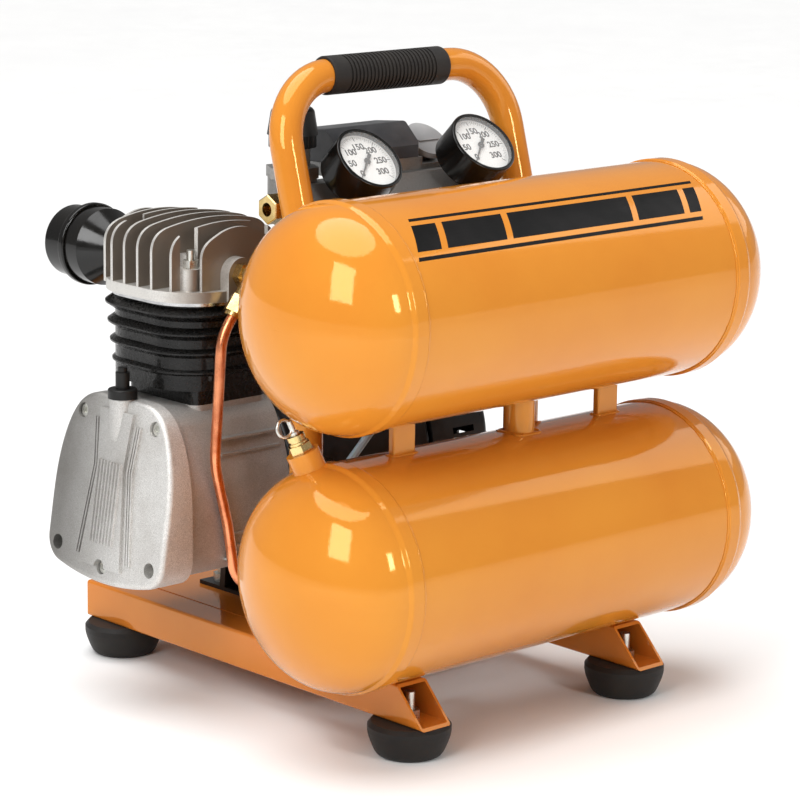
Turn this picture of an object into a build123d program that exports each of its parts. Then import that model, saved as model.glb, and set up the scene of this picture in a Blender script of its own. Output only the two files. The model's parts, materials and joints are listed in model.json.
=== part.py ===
from build123d import *
from math import cos, pi, radians, sin, sqrt
import os

os.makedirs("parts", exist_ok=True)

# Frame: +X runs along the two air tanks, the tanks are at the front (-Y), the pump and motor
# behind them (+Y), and +Z is up. The origin is on the floor, at the middle of the footprint.

# ---- air tanks ----
tank_r = 80.0                 # 160 mm shells hold about 2 US gallons each
tank_wall = 2.0
tank_y = -127.2               # both tanks share one vertical plane
lower_z = 133.0
upper_z = 316.4
seam_x = 160.6                # shell ends
head_depth = 61.4             # seam to tip of the dome
lap = 6.0                     # head skirt over the shell end
band_r = 81.6                 # outside of the lapped skirt

# ---- frame ----
rail_x = 110.6
rail_w = 28.0
rail_wall = 2.0
foot_h = 24.9
rail_top = 53.4
rail_front = tank_y - 48.1    # lower lip of the mitred front end
rail_mitre = 27.4
rail_back = tank_y + 334.0
foot_r = 30.0
foot_ys = (tank_y - 20.0, tank_y + 306.0)
plate_t = 2.5
plate_front = tank_y + 112.0
plate_back = tank_y + 328.0

# ---- carry handle ----
handle_r = 12.2
handle_x = 110.0
leg_y = tank_y + 93.2
leg_bend_z = 335.0
grip_y = tank_y + 129.5
grip_z = 463.0
handle_corner_r = 50.0
grip_x = -7.0
grip_half = 57.0
grip_r = 14.2

# ---- pump ----
pump_y = tank_y + 207.0
crank_z = 165.0
bore_x = -118.0               # cylinder axis
bore_r = 25.4
crank_throw = 11.0
rod_length = 85.0
case_joint_x = -178.0         # crankcase to cover joint
case_end_x = -82.0            # crankcase to motor joint
case_top_z = 225.0
case_bottom_z = 97.0
cylinder_top_z = 299.0
head_z = 302.0                # underside of the head flange
head_y = pump_y + 6.0         # the head and its fins reach further towards the filter
head_hx = 56.0
head_hy = 60.0
pin_r = 9.0                   # crank pin
shaft_r = 10.0
small_end_r = 8.5

# ---- motor ----
motor_r = 66.0
motor_back_x = 60.0
shroud_r = 68.0
shroud_end_x = 120.0

# ---- control manifold ----
manifold_y = tank_y + 128.0
manifold_z = 371.0
manifold_h = 15.0
gauge_r = 27.0
gauge_depth = 26.0
gauge_face_y = tank_y + 91.0
gauge_places = {"outlet": (-53.0, 407.0), "tank": (61.0, 409.0)}
regulator_x = -79.0
regulator_y = tank_y + 146.0
switch_y = tank_y + 156.0
tube_r = 4.0


def save(piece, name):
    """Label one finished piece and write its STEP file."""
    piece.part.label = name
    export_step(piece.part, f"parts/{name}.step")


def tank_plane(x, tank_z, angle, radius=tank_r):
    """Plane square to a tank's radius; the angle is measured from +Y towards +Z."""
    out = (0, cos(radians(angle)), sin(radians(angle)))
    origin = (x, tank_y + radius * out[1], tank_z + radius * out[2])
    return Plane(origin, x_dir=(1, 0, 0), z_dir=out)


def along_x(x, y, z):
    """Plane with its normal along +X, local x along +Y and local y along +Z."""
    return Plane((x, y, z), x_dir=(0, 1, 0), z_dir=(1, 0, 0))


def towards(origin, direction):
    """Plane at a point, with its normal along a direction."""
    return Plane(origin, z_dir=direction)


# ======================= air tanks =======================
ports = {
    "link_low": tank_plane(12.6, lower_z, 90),
    "link_high": tank_plane(12.6, upper_z, -90),
    "manifold": tank_plane(10.0, upper_z, 23.4),
    "check": tank_plane(-62.0, lower_z, -20),
    "drain": tank_plane(0.0, lower_z, -55),
}
port_hole_r = 7.0


def make_shell(tank_z, port_names):
    with BuildPart() as shell:
        with BuildSketch(along_x(-seam_x, tank_y, tank_z)):
            Circle(tank_r)
            Circle(tank_r - tank_wall, mode=Mode.SUBTRACT)
        extrude(amount=2 * seam_x)
        for port_name in port_names:
            with BuildSketch(ports[port_name].offset(-12)):
                Circle(port_hole_r)
            extrude(amount=20, mode=Mode.SUBTRACT)
    return shell


def make_heads(tank_z):
    """Two domed heads whose skirts lap over the ends of one shell."""
    with BuildPart() as heads:
        for side in (-1, 1):
            plane = Plane((side * seam_x, tank_y, tank_z), x_dir=(side, 0, 0), z_dir=(0, 0, -side))
            dome_start = 9.0
            with BuildSketch(plane):
                with BuildLine():
                    skirt = Polyline((0, 78.0), (0, tank_r + 0.05), (-lap, tank_r + 0.05), (-lap + 1.4, band_r))
                    band = Line(skirt @ 1, (4.5, band_r))
                    ramp = Spline(band @ 1, (dome_start, 79.6), tangents=((1, 0), (1, -0.12)))
                    dome = EllipticalCenterArc((3.4, 0), head_depth - 3.4, 80.0, start_angle=0, arc_size=84.4)
                    Line(ramp @ 1, dome @ 1)
                    Line(dome @ 0, (head_depth - tank_wall, 0))
                    EllipticalCenterArc((0, 0), head_depth - tank_wall, 78.0, start_angle=0, arc_size=90)
                make_face()
            revolve(axis=Axis((0, tank_y, tank_z), (1, 0, 0)))
    return heads


relief_axis = Vector(-0.31, 0.25, 0.92).normalized()
relief_base = Vector(-172.0, tank_y + 19.0, lower_z + 76.5)
relief_plane = towards(relief_base, relief_axis)

upper_tank_shell = make_shell(upper_z, ("link_high", "manifold"))
save(upper_tank_shell, "upper_tank_shell")
lower_tank_shell = make_shell(lower_z, ("link_low", "check", "drain"))
save(lower_tank_shell, "lower_tank_shell")
lower_heads = make_heads(lower_z)
upper_heads = make_heads(upper_z)
with BuildPart() as tank_heads:
    add(lower_heads.part)
    add(upper_heads.part)
save(tank_heads, "tank_heads")

# Welded threaded bosses: each foot is cut to the tank it stands on.
bung_r = 12.0
bung_h = 13.0
bung_bore_r = 6.6
with BuildPart() as bung_blanks:
    for port_name in ("check", "drain", "manifold"):
        with BuildSketch(ports[port_name].offset(-2)):
            Circle(bung_r)
        extrude(amount=bung_h + 2)
    with BuildSketch(relief_plane.offset(-6)):
        Circle(bung_r)
    extrude(amount=bung_h + 6)
    for tank_z in (lower_z, upper_z):
        with BuildSketch(along_x(-seam_x - lap, tank_y, tank_z)):
            Circle(tank_r + 0.02)
        extrude(amount=2 * (seam_x + lap), mode=Mode.SUBTRACT)
    add(lower_heads.part, mode=Mode.SUBTRACT)
    for plane in (ports["check"], ports["drain"], ports["manifold"], relief_plane):
        with BuildSketch(plane.offset(-12)):
            Circle(bung_bore_r)
        extrude(amount=30, mode=Mode.SUBTRACT)
with BuildPart() as tank_bungs:
    # the four largest solids are the bosses; the rest are offcuts inside the dome
    add(bung_blanks.part.solids().sort_by(SortBy.VOLUME)[-4:])
save(tank_bungs, "tank_bungs")

strap_x = 103.0
strap_w = 21.0
strap_t = 6.0
with BuildPart() as tie_straps:
    for side in (-1, 1):
        with BuildSketch(Plane.XY.offset(lower_z + 60)):
            with Locations((side * strap_x, tank_y)):
                RectangleRounded(strap_w, strap_t, 1.5)
        extrude(amount=upper_z - lower_z - 120)
    for tank_z in (lower_z, upper_z):
        with BuildSketch(along_x(-seam_x, tank_y, tank_z)):
            Circle(tank_r + 0.02)
        extrude(amount=2 * seam_x, mode=Mode.SUBTRACT)
save(tie_straps, "tie_straps")

link_r = 11.5
with BuildPart() as tank_link_tube:
    with BuildSketch(Plane.XY.offset(lower_z + 60)):
        with Locations((12.6, tank_y)):
            Circle(link_r)
    extrude(amount=upper_z - lower_z - 120)
    for tank_z in (lower_z, upper_z):
        with BuildSketch(along_x(-seam_x, tank_y, tank_z)):
            Circle(tank_r + 0.02)
        extrude(amount=2 * seam_x, mode=Mode.SUBTRACT)
    with BuildSketch(Plane.XY.offset(lower_z)):
        with Locations((12.6, tank_y)):
            Circle(port_hole_r)
    extrude(amount=upper_z - lower_z, mode=Mode.SUBTRACT)
save(tank_link_tube, "tank_link_tube")

# ======================= frame =======================
foot_bolt_r = 4.0


def make_rail(side):
    """Rectangular tube with a 45 degree open front end and foot-bolt holes in its lower wall."""
    x0 = side * rail_x - rail_w / 2
    with BuildPart() as rail:
        with BuildSketch(Plane.YZ.offset(x0)):
            with BuildLine():
                Polyline(
                    (rail_front, foot_h),
                    (rail_back, foot_h),
                    (rail_back, rail_top),
                    (rail_front + rail_mitre, rail_top),
                    close=True,
                )
            make_face()
        extrude(amount=rail_w)
        fillet(rail.edges().filter_by(Axis.Y), radius=2.2)
        with BuildSketch(Plane.XZ.offset(-rail_back - 5)):
            with Locations((side * rail_x, (foot_h + rail_top) / 2)):
                RectangleRounded(rail_w - 2 * rail_wall, rail_top - foot_h - 2 * rail_wall, 1.0)
        extrude(amount=rail_back - rail_front + 10, mode=Mode.SUBTRACT)
        with BuildSketch(Plane.XY.offset(foot_h - 1)):
            with Locations(*[(side * rail_x, foot_y) for foot_y in foot_ys]):
                Circle(foot_bolt_r + 0.3)
        extrude(amount=6, mode=Mode.SUBTRACT)
        with BuildSketch(along_x(-seam_x, tank_y, lower_z)):
            Circle(tank_r + 0.02)
        extrude(amount=2 * seam_x, mode=Mode.SUBTRACT)
    return rail


left_rail = make_rail(-1)
save(left_rail, "left_rail")
right_rail = make_rail(1)
save(right_rail, "right_rail")

mount_xs = (-50.0, 34.0)
mount_dy = 52.0
plate_half = rail_x - rail_w / 2
with BuildPart() as base_plate:
    with BuildSketch(Plane.XY.offset(rail_top - plate_t)):
        with Locations((0, (plate_front + plate_back) / 2)):
            Rectangle(2 * plate_half, plate_back - plate_front)
    extrude(amount=plate_t)
    for flange_y in (plate_front, plate_back - plate_t):
        with BuildSketch(Plane.XY.offset(rail_top - 16)):
            with Locations((0, flange_y + plate_t / 2)):
                Rectangle(2 * plate_half, plate_t)
        extrude(amount=14)
    with BuildSketch(Plane.XY.offset(rail_top - 5)):
        with Locations(*[(x, pump_y + side * mount_dy) for x in mount_xs for side in (-1, 1)]):
            Circle(foot_bolt_r + 0.3)
    extrude(amount=10, mode=Mode.SUBTRACT)
save(base_plate, "base_plate")

with BuildPart() as rubber_feet:
    for side in (-1, 1):
        for foot_y in foot_ys:
            centre = (side * rail_x, foot_y, 0)
            with BuildSketch(Plane(centre, x_dir=(1, 0, 0), z_dir=(0, -1, 0))):
                with BuildLine():
                    Polyline((foot_bolt_r + 0.3, foot_h), (27.5, foot_h), (foot_r, foot_h - 3.0), (foot_r, foot_h - 7))
                    Spline((foot_r, foot_h - 7), (26.4, 6.5), (20.5, 0), tangents=((-0.12, -1), (-1, -0.2)))
                    Polyline((20.5, 0), (9, 0), (9, 9), (foot_bolt_r + 0.3, 9), (foot_bolt_r + 0.3, foot_h))
                make_face()
            revolve(axis=Axis(centre, (0, 0, 1)))
save(rubber_feet, "rubber_feet")


def hex_bolt(x, y, head_z0, tip_z, nut_z):
    """Hexagon bolt with its head low, plus a nut, made in the open BuildPart."""
    with BuildSketch(Plane.XY.offset(head_z0)) as head:
        with Locations((x, y)):
            RegularPolygon(6.5, 6, major_radius=False)
    extrude(head.sketch, amount=5)
    with BuildSketch(Plane.XY.offset(head_z0)) as shank:
        with Locations((x, y)):
            Circle(foot_bolt_r - 0.1)
    extrude(shank.sketch, amount=tip_z - head_z0)
    with BuildSketch(Plane.XY.offset(nut_z)) as nut:
        with Locations((x, y)):
            RegularPolygon(6.5, 6, major_radius=False)
    extrude(nut.sketch, amount=6)


with BuildPart() as frame_bolts:
    for side in (-1, 1):
        for foot_y in foot_ys:
            hex_bolt(side * rail_x, foot_y, 4.0, 46.0, foot_h + rail_wall)
    for mount_x in mount_xs:
        for side in (-1, 1):
            hex_bolt(mount_x, pump_y + side * mount_dy, rail_top - plate_t - 5, rail_top + 14, rail_top + 3)
save(frame_bolts, "frame_bolts")

with BuildPart() as handle_tube:
    with BuildLine() as handle_path:
        FilletPolyline(
            (-handle_x, leg_y, rail_top),
            (-handle_x, leg_y, leg_bend_z),
            (-handle_x, grip_y, grip_z),
            (handle_x, grip_y, grip_z),
            (handle_x, leg_y, leg_bend_z),
            (handle_x, leg_y, rail_top),
            radius=handle_corner_r,
        )
    with BuildSketch(Plane.XY.offset(rail_top)):
        with Locations((-handle_x, leg_y)):
            Circle(handle_r)
            Circle(handle_r - 1.8, mode=Mode.SUBTRACT)
    sweep(path=handle_path.line)
save(handle_tube, "handle_tube")

rib_pitch = 3.6
rib_count = 24
with BuildPart() as handle_grip:
    with BuildSketch(along_x(grip_x - grip_half, grip_y, grip_z)):
        Circle(grip_r)
        Circle(handle_r + 0.03, mode=Mode.SUBTRACT)
    extrude(amount=2 * grip_half)
    fillet(handle_grip.edges().filter_by(GeomType.CIRCLE).group_by(SortBy.RADIUS)[-1], radius=1.2)
    for i in range(rib_count):
        groove_x = grip_x + (i - (rib_count - 1) / 2) * rib_pitch
        with BuildSketch(along_x(groove_x - 0.8, grip_y, grip_z)):
            Circle(grip_r + 1)
            Circle(grip_r - 0.9, mode=Mode.SUBTRACT)
        extrude(amount=1.6, mode=Mode.SUBTRACT)
save(handle_grip, "handle_grip")

# ======================= crankcase =======================
case_hy = 64.0
case_wall = 5.0
case_sole_r = 220.0           # the bottom is a shallow arc
case_corner_r = 20.0


def case_outline(grow=0.0):
    """Bell outline in a plane whose local origin is the crank axis; run inside a BuildSketch."""
    top = case_top_z - crank_z + grow
    low = case_bottom_z - crank_z - grow
    half = case_hy + grow
    reach = half - case_corner_r
    rise = sqrt((case_sole_r - case_corner_r) ** 2 - reach**2)
    spread = case_sole_r / (case_sole_r - case_corner_r)
    corner_z = low + case_sole_r - rise
    touch = (reach * spread, low + case_sole_r - rise * spread)
    with BuildLine() as bell:
        Line((-26, top), (26, top))
        for side in (-1, 1):
            shoulder = TangentArc(
                (side * 26, top), (side * (half - 17), top - 12), tangent=(side, 0)
            )
            Spline(
                shoulder @ 1,
                (side * (half - 5), top - 38),
                (side * half, corner_z),
                tangents=(shoulder % 1, (0, -1)),
            )
            TangentArc((side * half, corner_z), (side * touch[0], touch[1]), tangent=(0, -1))
        ThreePointArc((-touch[0], touch[1]), (0, low), touch)
    make_face(bell.edges())


bearing_r = 23.5
end_wall = 16.0
with BuildPart() as crankcase:
    with BuildSketch(along_x(case_joint_x, pump_y, crank_z)):
        case_outline()
    extrude(amount=case_end_x - case_joint_x)
    with BuildSketch(Plane.XY.offset(case_top_z - 7)):
        with Locations((bore_x, pump_y)):
            RectangleRounded(70, 80, 8)
    extrude(amount=7)
    with BuildSketch(along_x(case_joint_x, pump_y, crank_z)):
        case_outline(-case_wall)
    extrude(amount=case_end_x - case_joint_x - end_wall, mode=Mode.SUBTRACT)
    with BuildSketch(along_x(case_joint_x, pump_y, crank_z)):
        Circle(bearing_r)
    extrude(amount=case_end_x - case_joint_x, mode=Mode.SUBTRACT)
    with BuildSketch(Plane.XY.offset(case_top_z - 20)):
        with Locations((bore_x, pump_y)):
            Circle(29.6)
    extrude(amount=30, mode=Mode.SUBTRACT)
    for rib_z in (201.0, 190.0, 131.0, 122.0, 113.0):
        for side in (-1, 1):
            rib_y = pump_y + side * (case_hy - 0.14 * max(0.0, rib_z - 150.0))
            with BuildSketch(Plane.XY.offset(rib_z)):
                with Locations(((case_joint_x + case_end_x) / 2 + 14, rib_y - side * 2)):
                    Rectangle(56, 7)
            extrude(amount=1.6)
save(crankcase, "crankcase")

# The cover is a dished casting; its face leans out towards the bottom.
cover_top_x = -190.0
cover_low_x = -210.0
cover_lean = (cover_top_x - cover_low_x) / (case_top_z - case_bottom_z)
face_normal = Vector(-1, 0, cover_lean).normalized()
face_mid_x = cover_top_x - cover_lean * (case_top_z - crank_z)
face_plane = Plane((face_mid_x, pump_y, crank_z), x_dir=(0, 1, 0), z_dir=-face_normal)
plug_y = pump_y
plug_x = -188.0


def face_point(dy, z):
    """Point on the leaning cover face."""
    return (cover_top_x - cover_lean * (case_top_z - z), pump_y + dy, z)


# The two lower screws sit at the bottom of deep holes.
screw_spots = [(-42.0, 214.0, 7), (42.0, 214.0, 7), (-54.0, 114.0, 15), (0.0, 106.0, 7), (54.0, 114.0, 15)]
with BuildPart() as crankcase_cover:
    with BuildSketch(along_x(cover_low_x - 2, pump_y, crank_z)):
        case_outline(4.0)
    extrude(amount=case_joint_x - cover_low_x + 2)
    split(bisect_by=face_plane, keep=Keep.TOP)
    fillet(crankcase_cover.faces().sort_by(Axis.X)[0].edges(), radius=4)
    with BuildSketch(along_x(case_joint_x, pump_y, crank_z)):
        case_outline(-case_wall)
    extrude(amount=-9, mode=Mode.SUBTRACT)
    # raised centre band with its vertical reeds
    with BuildSketch(face_plane):
        with BuildLine():
            Polyline((-19, 56), (19, 56), (15, 14), (24, -60), (-24, -60), (-15, 14), close=True)
        make_face()
    extrude(amount=-2.8)
    for i in range(8):
        with BuildSketch(face_plane.offset(-2.8)):
            with Locations(((i - 3.5) * 3.6, -12)):
                Rectangle(2.4, 62)
        extrude(amount=-1.5, taper=20)
    # long ridges beside the band
    for offset in (-8.0, -5.4, -2.8, 2.8, 5.4):
        side = 1 if offset > 0 else -1
        with BuildSketch(face_plane):
            with BuildLine():
                for reach in (offset, offset + 1.3 * side):
                    Polyline((19 * side + reach, 48), (15 * side + reach, 14), (24 * side + reach, -54))
                Line((19 * side + offset, 48), (19 * side + offset + 1.3 * side, 48))
                Line((24 * side + offset, -54), (24 * side + offset + 1.3 * side, -54))
            make_face()
        extrude(amount=-1.6)
    for dy, z, depth in screw_spots:
        with BuildSketch(towards(face_point(dy, z), face_normal).offset(-depth)):
            Circle(5.6)
        extrude(amount=depth + 9, mode=Mode.SUBTRACT)
    # filler neck
    with BuildSketch(Plane.XY.offset(case_top_z - 26)):
        with Locations((plug_x, plug_y)):
            Circle(9.6)
    extrude(amount=30.5)
    with BuildSketch(Plane.XY.offset(case_top_z - 12)):
        with Locations((plug_x, plug_y)):
            Circle(6.6)
    extrude(amount=30, mode=Mode.SUBTRACT)
save(crankcase_cover, "crankcase_cover")

with BuildPart() as cover_screws:
    for dy, z, depth in screw_spots:
        head_seat = towards(face_point(dy, z), face_normal).offset(0.4 - depth)
        with BuildSketch(head_seat):
            Circle(4.9)
        extrude(amount=4.2)
        with BuildSketch(head_seat.offset(2.6)):
            RegularPolygon(2.4, 6, major_radius=False)
        extrude(amount=3, mode=Mode.SUBTRACT)
save(cover_screws, "cover_screws")

neck_top_z = case_top_z + 4.5
with BuildPart() as oil_plug:
    with BuildSketch(Plane.XY.offset(neck_top_z - 14)):
        with Locations((plug_x, plug_y)):
            Circle(6.5)
    extrude(amount=14.3)
    with BuildSketch(Plane.XY.offset(neck_top_z + 0.3)):
        with Locations((plug_x, plug_y)):
            Circle(10.8)
    extrude(amount=7)
    fillet(oil_plug.edges().group_by(Axis.Z)[-1], radius=1.2)
    with BuildSketch(Plane.XY.offset(neck_top_z + 7.3)):
        with Locations((plug_x, plug_y)):
            Circle(5.2)
    extrude(amount=12)
    with BuildSketch(Plane.XY.offset(neck_top_z + 19.3)):
        with Locations((plug_x, plug_y)):
            Circle(3.6)
    extrude(amount=3.5)
save(oil_plug, "oil_plug")

# ======================= cylinder and head =======================
stud_radius = 47.0
barrel_low_z = case_top_z + 11.0
fin_edge_t = 1.2
fin_slope_h = 4.4
with BuildPart() as cylinder:
    with BuildSketch(Plane.XY.offset(barrel_low_z)):
        with Locations((bore_x, head_y)):
            RectangleRounded(98, 106, 36)
    extrude(amount=cylinder_top_z - barrel_low_z)
    with BuildSketch(Plane.XY.offset(case_top_z)):
        with Locations((bore_x, pump_y)):
            RectangleRounded(70, 80, 8)
    extrude(amount=barrel_low_z - case_top_z)
    # four sharp fins, each a little smaller than the one above
    for i in range(4):
        shrink = 1.2 * i
        for facing in (-1, 1):
            fin_plane = Plane((bore_x, head_y, 292.4 - 14.3 * i), z_dir=(0, 0, facing))
            with BuildSketch(fin_plane):
                RectangleRounded(2 * (head_hx - shrink), 2 * (head_hy - shrink), 42)
            extrude(amount=fin_edge_t / 2)
            with BuildSketch(fin_plane.offset(fin_edge_t / 2)):
                RectangleRounded(2 * (head_hx - shrink), 2 * (head_hy - shrink), 42)
            extrude(amount=fin_slope_h, taper=55)
    with BuildSketch(Plane.XY.offset(case_top_z)):
        with Locations((bore_x, pump_y)):
            Circle(bore_r)
    extrude(amount=cylinder_top_z - case_top_z, mode=Mode.SUBTRACT)
save(cylinder, "cylinder")

with BuildPart() as valve_plate:
    with BuildSketch(Plane.XY.offset(cylinder_top_z)):
        with Locations((bore_x, head_y)):
            RectangleRounded(104, 112, 40)
        with Locations((bore_x, pump_y)):
            with PolarLocations(13.0, 6):
                Circle(3.0, mode=Mode.SUBTRACT)
            with PolarLocations(stud_radius, 4, start_angle=45):
                Circle(3.4, mode=Mode.SUBTRACT)
    extrude(amount=head_z - cylinder_top_z)
save(valve_plate, "valve_plate")

corner_r = 44.0
fin_top_z = 358.6
core_top_z = 334.0
fin_width = 2.6


def head_half_length(dy):
    """Half length of a head fin at an offset from the middle, inside the rounded plan."""
    over = max(0.0, abs(dy) - (head_hy - corner_r))
    return head_hx - corner_r + sqrt(max(0.0, corner_r**2 - over**2)) - 0.6


def head_fin(dy, x_from, x_to, top_z):
    """One upright fin with rounded upper corners, made in the open BuildPart."""
    sunk = head_z + 5
    fin_plane = Plane((bore_x, head_y + dy + fin_width / 2, 0), x_dir=(1, 0, 0), z_dir=(0, -1, 0))
    with BuildSketch(fin_plane) as fin:
        with BuildLine():
            edge = Polyline((x_from, top_z - 22), (x_from, sunk), (x_to, sunk), (x_to, top_z - 22))
            bow = ThreePointArc(
                (x_from + 16, top_z - 4), ((x_from + x_to) / 2, top_z), (x_to - 16, top_z - 4)
            )
            Spline(edge @ 0, bow @ 0, tangents=((0, 1), bow % 0))
            Spline(bow @ 1, edge @ 1, tangents=(bow % 1, (0, -1)))
        make_face()
    extrude(fin.sketch, amount=-fin_width)


intake_x = -136.0
intake_z = 324.0
discharge_x = -122.0
discharge_z = 321.0
boss_face_y = pump_y - 56.0
intake_face_y = pump_y + 68.5
fin_pitch = 15.4
with BuildPart() as cylinder_head:
    with BuildSketch(Plane.XY.offset(head_z)):
        with Locations((bore_x, head_y)):
            RectangleRounded(2 * head_hx, 2 * head_hy, corner_r)
    extrude(amount=8)
    with BuildSketch(Plane.XY.offset(head_z)):
        with Locations((bore_x, pump_y)):
            RectangleRounded(62, 66, 14)
    extrude(amount=core_top_z - head_z)
    for i in range(8):
        dy = (i - 3.5) * fin_pitch
        half = head_half_length(dy)
        drop = 0.0014 * dy * dy
        head_fin(dy, -half, half, fin_top_z - drop)
    with BuildSketch(Plane.XY.offset(head_z)):
        with Locations((bore_x, pump_y)):
            with PolarLocations(stud_radius, 4, start_angle=45):
                Circle(8.5)
    extrude(amount=24)
    # discharge boss, an arch on the tank side
    with BuildSketch(Plane((discharge_x, boss_face_y, 0), x_dir=(1, 0, 0), z_dir=(0, 1, 0))):
        with BuildLine():
            Polyline((-12.5, -discharge_z), (-12.5, -head_z), (12.5, -head_z), (12.5, -discharge_z))
            ThreePointArc((12.5, -discharge_z), (0, -discharge_z - 12.5), (-12.5, -discharge_z))
        make_face()
    extrude(amount=26)
    # intake boss on the far side
    with BuildSketch(Plane((intake_x, pump_y + 20, intake_z), x_dir=(1, 0, 0), z_dir=(0, 1, 0))):
        Circle(13.0)
    extrude(amount=intake_face_y - pump_y - 20)
    with BuildSketch(Plane((intake_x, pump_y + 8, intake_z), x_dir=(1, 0, 0), z_dir=(0, 1, 0))):
        Circle(8.0)
    extrude(amount=80, mode=Mode.SUBTRACT)
    with BuildSketch(Plane((discharge_x, boss_face_y, discharge_z), x_dir=(1, 0, 0), z_dir=(0, 1, 0))):
        Circle(6.0)
    extrude(amount=18, mode=Mode.SUBTRACT)
    with BuildSketch(Plane.XY.offset(head_z)):
        with Locations((bore_x, pump_y)):
            Circle(21.0)
    extrude(amount=20, mode=Mode.SUBTRACT)
    with BuildSketch(Plane.XY.offset(head_z - 1)):
        with Locations((bore_x, pump_y)):
            with PolarLocations(stud_radius, 4, start_angle=45):
                Circle(3.4)
    extrude(amount=26, mode=Mode.SUBTRACT)
    with BuildSketch(Plane.XY.offset(head_z + 24)):
        with Locations((bore_x, pump_y)):
            with PolarLocations(stud_radius, 4, start_angle=45):
                Circle(8.5)
    extrude(amount=60, mode=Mode.SUBTRACT)
save(cylinder_head, "cylinder_head")

with BuildPart() as head_bolts:
    with BuildSketch(Plane.XY.offset(cylinder_top_z + 0.2)):
        with Locations((bore_x, pump_y)):
            with PolarLocations(stud_radius, 4, start_angle=45):
                Circle(3.2)
    extrude(amount=head_z - cylinder_top_z + 37)
    with BuildSketch(Plane.XY.offset(head_z + 24)):
        with Locations((bore_x, pump_y)):
            with PolarLocations(stud_radius, 4, start_angle=45):
                RegularPolygon(5.4, 6, major_radius=False)
    extrude(amount=6)
save(head_bolts, "head_bolts")

# ======================= air filter =======================
filter_start = intake_face_y
filter_flange = tank_y + 306.0
filter_end = tank_y + 335.0


def filter_ring(y):
    """Plane square to the filter's axis, facing +Y."""
    return Plane((intake_x, y, intake_z), x_dir=(1, 0, 0), z_dir=(0, 1, 0))


with BuildPart() as filter_housing:
    with BuildSketch(filter_ring(filter_start - 12)):
        Circle(7.9)
    extrude(amount=12)
    with BuildSketch(filter_ring(filter_start)):
        Circle(16.0)
    with BuildSketch(filter_ring(filter_flange - 14)):
        Circle(29.0)
    loft()
    with BuildSketch(filter_ring(filter_flange - 14)):
        Circle(29.0)
    extrude(amount=14)
    with BuildSketch(filter_ring(filter_flange - 12)):
        Circle(26.5)
    extrude(amount=20, mode=Mode.SUBTRACT)
    with BuildSketch(filter_ring(filter_start - 14)):
        Circle(6.0)
    extrude(amount=80, mode=Mode.SUBTRACT)
save(filter_housing, "filter_housing")

with BuildPart() as filter_element:
    with BuildSketch(filter_ring(filter_flange - 10)):
        Circle(23.0)
        Circle(9.0, mode=Mode.SUBTRACT)
    extrude(amount=28)
save(filter_element, "filter_element")

with BuildPart() as filter_cap:
    with BuildSketch(filter_ring(filter_flange + 0.3)):
        Circle(31.2)
    extrude(amount=6)
    fillet(filter_cap.edges().filter_by(GeomType.CIRCLE), radius=1.5)
    with BuildSketch(filter_ring(filter_flange + 0.3)):
        Circle(27.0)
    extrude(amount=filter_end - filter_flange - 0.3)
    fillet(filter_cap.edges().filter_by(GeomType.CIRCLE).group_by(Axis.Y)[-1], radius=3)
    with BuildSketch(filter_ring(filter_flange)):
        Circle(24.6)
    extrude(amount=filter_end - filter_flange - 3, mode=Mode.SUBTRACT)
save(filter_cap, "filter_cap")

# ======================= crank mechanism =======================
# At rest the crank is at bottom dead centre.
pin_z = crank_z - crank_throw
small_end_z = pin_z + rod_length
web_x = bore_x + 10.0
web_t = 8.0
with BuildPart() as crankshaft:
    with BuildSketch(along_x(web_x, pump_y, crank_z)):
        with BuildLine():
            Polyline((-13, -crank_throw - 11), (13, -crank_throw - 11), (17, 6), (33, 14))
            ThreePointArc((33, 14), (0, 36), (-33, 14))
            Polyline((-33, 14), (-17, 6), (-13, -crank_throw - 11))
        make_face()
    extrude(amount=web_t)
    with BuildSketch(along_x(bore_x - 10, pump_y, pin_z)):
        Circle(pin_r)
    extrude(amount=20.5)
    with BuildSketch(along_x(web_x + web_t - 0.5, pump_y, crank_z)):
        Circle(shaft_r)
    extrude(amount=106.0 - web_x - web_t)
save(crankshaft, "crankshaft")

rod_w = 15.0
with BuildPart() as connecting_rod:
    with BuildSketch(along_x(bore_x - rod_w / 2, pump_y, pin_z)):
        Circle(15.5)
        with BuildLine():
            Polyline((-8, 8), (-5.5, rod_length - 5), (5.5, rod_length - 5), (8, 8), close=True)
        make_face()
        with Locations((0, rod_length)):
            Circle(small_end_r)
        Circle(pin_r + 0.05, mode=Mode.SUBTRACT)
        with Locations((0, rod_length)):
            Circle(5.0, mode=Mode.SUBTRACT)
    extrude(amount=rod_w)
save(connecting_rod, "connecting_rod")

with BuildPart() as wrist_pin:
    with BuildSketch(along_x(bore_x - 9.5, pump_y, small_end_z)):
        Circle(5.0)
    extrude(amount=19)
save(wrist_pin, "wrist_pin")

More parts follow.
